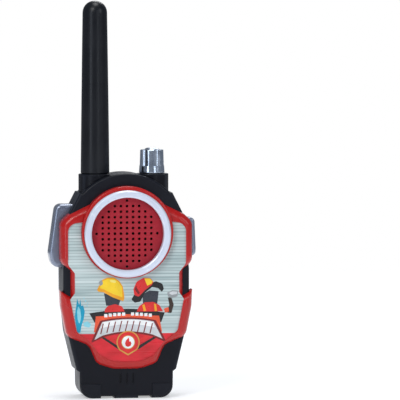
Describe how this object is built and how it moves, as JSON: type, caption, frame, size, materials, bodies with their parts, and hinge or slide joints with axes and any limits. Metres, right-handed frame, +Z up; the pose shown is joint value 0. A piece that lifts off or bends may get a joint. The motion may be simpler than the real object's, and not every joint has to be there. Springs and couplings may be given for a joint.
{
  "type": "toy walkie talkie",
  "caption": "Hand-held toy two-way radio with a stub antenna, round speaker grille, side talk and call buttons, volume knob, belt clip and battery door.",
  "frame": {"origin": "on the underside of the middle foot, on the plane the part stands on, midway across the width and at the antenna's and knob's depth less 1 mm", "axes": "+Z up along the antenna, -Y out of the speaker's front, +X across the front from the talk button towards the call button"},
  "size_m": [0.0801, 0.0407, 0.2148],
  "materials": {
    "housing": "black moulded plastic, semi-gloss",
    "bezel": "glossy red plastic",
    "label": "printed plastic film",
    "grille": "crimson moulded plastic",
    "ring": "satin metallised plastic",
    "antenna": "black semi-gloss plastic",
    "steel_wire": "drawn steel wire",
    "lead_green": "green PVC insulation",
    "buttons": "metallic grey plastic",
    "white_plastic": "white acetal",
    "spring": "spring steel",
    "switch": "black switch body",
    "leaf_brass": "thin spring brass",
    "knob": "bright metallised plastic",
    "pot_body": "stamped steel case",
    "screws": "zinc-plated steel",
    "foam": "closed-cell foam",
    "battery_can": "plain blue printed wrap",
    "terminals": "nickel-plated steel",
    "snap": "soft black vinyl",
    "lead_red": "red PVC insulation",
    "lead_black": "black PVC insulation",
    "board": "green solder mask on laminate",
    "chip": "black moulded package",
    "cans": "tinned shielding cans",
    "cap_sleeve": "blue shrink sleeve",
    "cap_ceramic": "ochre dipped ceramic",
    "resistor": "lacquered body",
    "basket": "stamped steel",
    "magnet": "sintered ferrite",
    "surround": "soft rubber roll",
    "cone": "pressed paper"
  },
  "bodies": {
    "radio": {"front_shell": "housing", "rear_shell": "housing", "front_bezel": "bezel", "front_label": "label", "speaker_grille": "grille", "speaker_ring": "ring", "antenna_sleeve": "antenna", "antenna_wire": "steel_wire", "antenna_lead": "lead_green", "ptt_spring": "spring", "ptt_switch": "switch", "call_leaf": "leaf_brass", "call_contact": "leaf_brass", "volume_control": "pot_body", "battery": "battery_can", "battery_terminals": "terminals", "battery_snap": "snap", "battery_lead_red": "lead_red", "battery_lead_black": "lead_black", "clip_pin": "steel_wire", "clip_spring": "spring", "case_screws": "screws", "circuit_board": "board", "board_screws": "screws", "audio_chip": "chip", "tuning_coils": "cans", "crystal": "cans", "electrolytic_caps": "cap_sleeve", "disc_caps": "cap_ceramic", "resistors": "resistor", "transistors": "chip", "speaker_gasket": "foam", "speaker_frame": "basket", "speaker_magnet": "magnet", "speaker_surround": "surround", "speaker_screws": "screws", "speaker_lead_red": "lead_red", "speaker_lead_black": "lead_black"},
    "ptt": {"ptt_button": "buttons", "ptt_plunger": "white_plastic"},
    "call": {"call_button": "buttons"},
    "knob": {"volume_knob": "knob", "volume_shaft": "white_plastic"},
    "door": {"battery_door": "housing", "door_screw": "screws", "battery_pad": "foam"},
    "clip": {"belt_clip": "housing"},
    "cone": {"speaker_cone": "cone"}
  },
  "joints": [
    {"name": "talk_button", "type": "slide", "parent": "radio", "child": "ptt", "axis": [1, 0, 0], "range_m": [0, 0.002], "stiffness_N_per_m": 600, "springref_m": -0.002, "deforming": ["ptt_spring"]},
    {"name": "call_button", "type": "slide", "parent": "radio", "child": "call", "axis": [-1, 0, 0], "range_m": [0, 0.0012], "stiffness_N_per_m": 600, "springref_m": -0.001, "deforming": ["call_leaf"]},
    {"name": "volume", "type": "hinge", "parent": "radio", "child": "knob", "pos_m": [0.0155, 0.001, 0.125], "axis": [0, 0, 1], "range_deg": [-300, 0]},
    {"name": "door_hinge", "type": "hinge", "parent": "radio", "child": "door", "pos_m": [0, 0.0135, 0.0063], "axis": [-1, 0, 0], "range_deg": [0, 75]},
    {"name": "clip_hinge", "type": "hinge", "parent": "radio", "child": "clip", "pos_m": [0, 0.0176, 0.1], "axis": [1, 0, 0], "range_deg": [0, 15], "stiffness_Nm_per_rad": 0.3, "springref_deg": -17.19, "deforming": ["clip_spring"]},
    {"name": "cone_travel", "type": "slide", "parent": "radio", "child": "cone", "axis": [0, 1, 0], "range_m": [-0.0004, 0.0004], "stiffness_N_per_m": 500, "deforming": ["speaker_surround"]}
  ]
}
